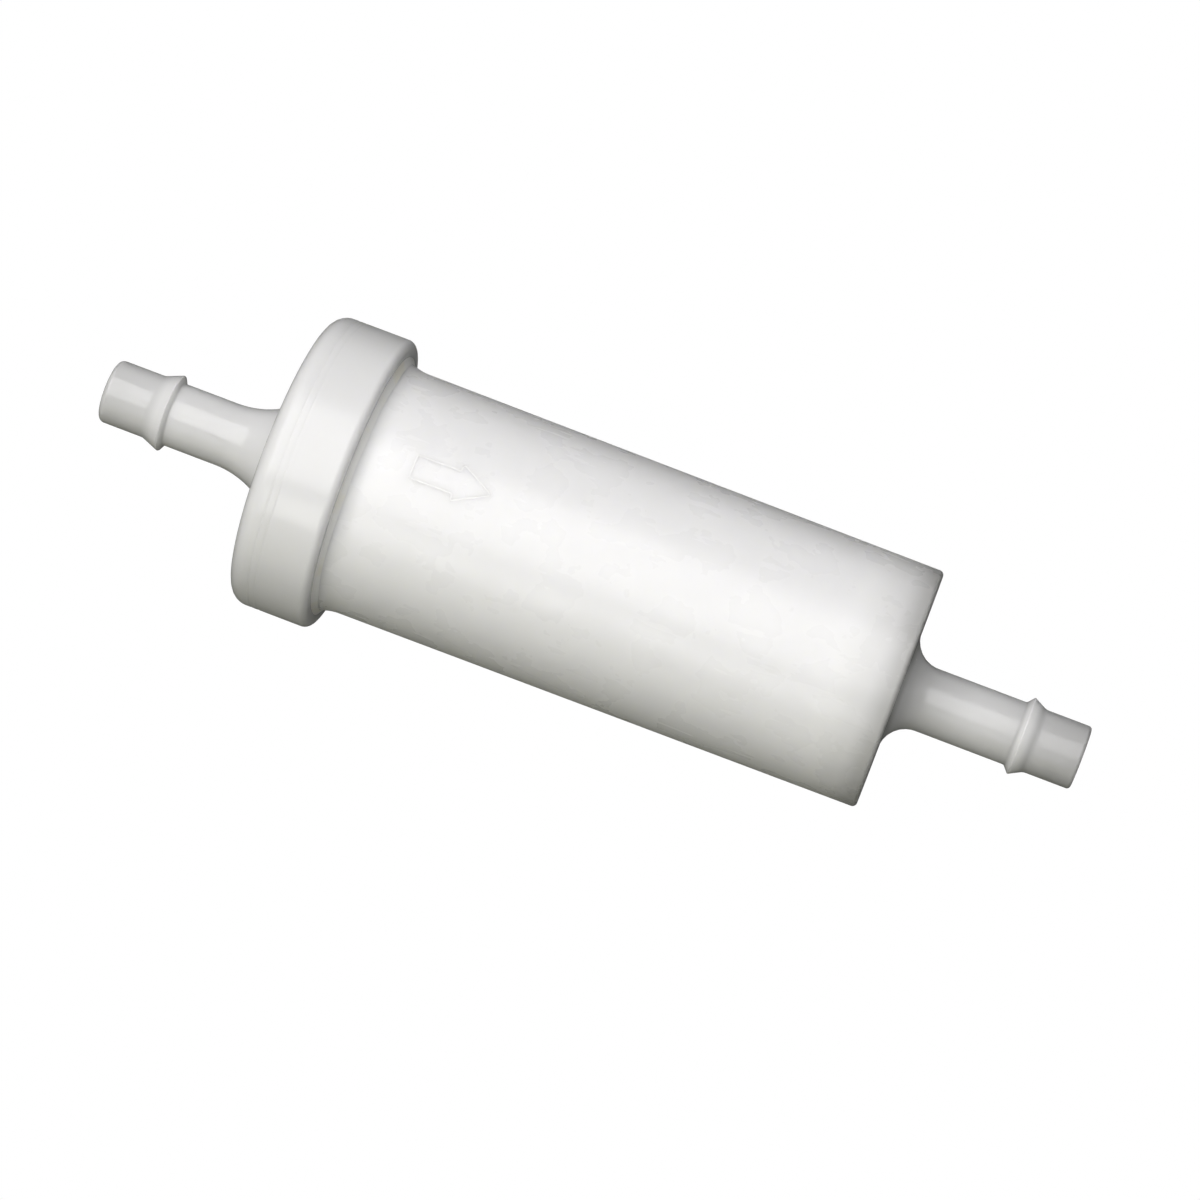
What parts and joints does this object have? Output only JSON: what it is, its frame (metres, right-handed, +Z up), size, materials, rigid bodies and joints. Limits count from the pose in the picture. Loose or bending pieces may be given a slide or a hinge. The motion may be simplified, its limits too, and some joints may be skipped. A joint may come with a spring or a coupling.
{
  "type": "fuel filter",
  "caption": "In-line fuel filter: a milky plastic canister with a wide welded inlet cap, a straight hose barb at each end and a spring-seated pleated cartridge inside.",
  "frame": {"origin": "on the flow axis, at the middle of the overall length, which is where the two hoses carry the filter's weight", "axes": "+X along the flow, from the inlet barb to the outlet barb; +Z up, through the middle of the raised flow arrow"},
  "size_m": [0.1288, 0.038, 0.038],
  "materials": {
    "housing_plastic": "natural white acetal, slightly milky, satin gloss",
    "weld_plastic": "melted and yellowed natural plastic",
    "cartridge_plastic": "natural white moulding",
    "adhesive": "amber potting adhesive",
    "filter_paper": "resin-cured filter paper",
    "clip_steel": "tinned strip",
    "spring_steel": "drawn stainless wire",
    "seal_rubber": "black nitrile"
  },
  "bodies": {
    "housing": {"filter_body": "housing_plastic", "inlet_cap": "housing_plastic", "weld_bead": "weld_plastic", "preload_spring": "spring_steel"},
    "cartridge": {"closed_end_disc": "cartridge_plastic", "inlet_potting": "adhesive", "pleated_media": "filter_paper", "side_seam_clip": "clip_steel", "core_tube": "cartridge_plastic", "outlet_potting": "adhesive", "open_end_disc": "cartridge_plastic", "outlet_seal": "seal_rubber"}
  },
  "joints": [
    {"name": "cartridge_lift", "type": "slide", "parent": "housing", "child": "cartridge", "axis": [-1, 0, 0], "range_m": [0, 0.002], "stiffness_N_per_m": 570, "springref_m": -0.003, "deforming": ["preload_spring"]}
  ]
}
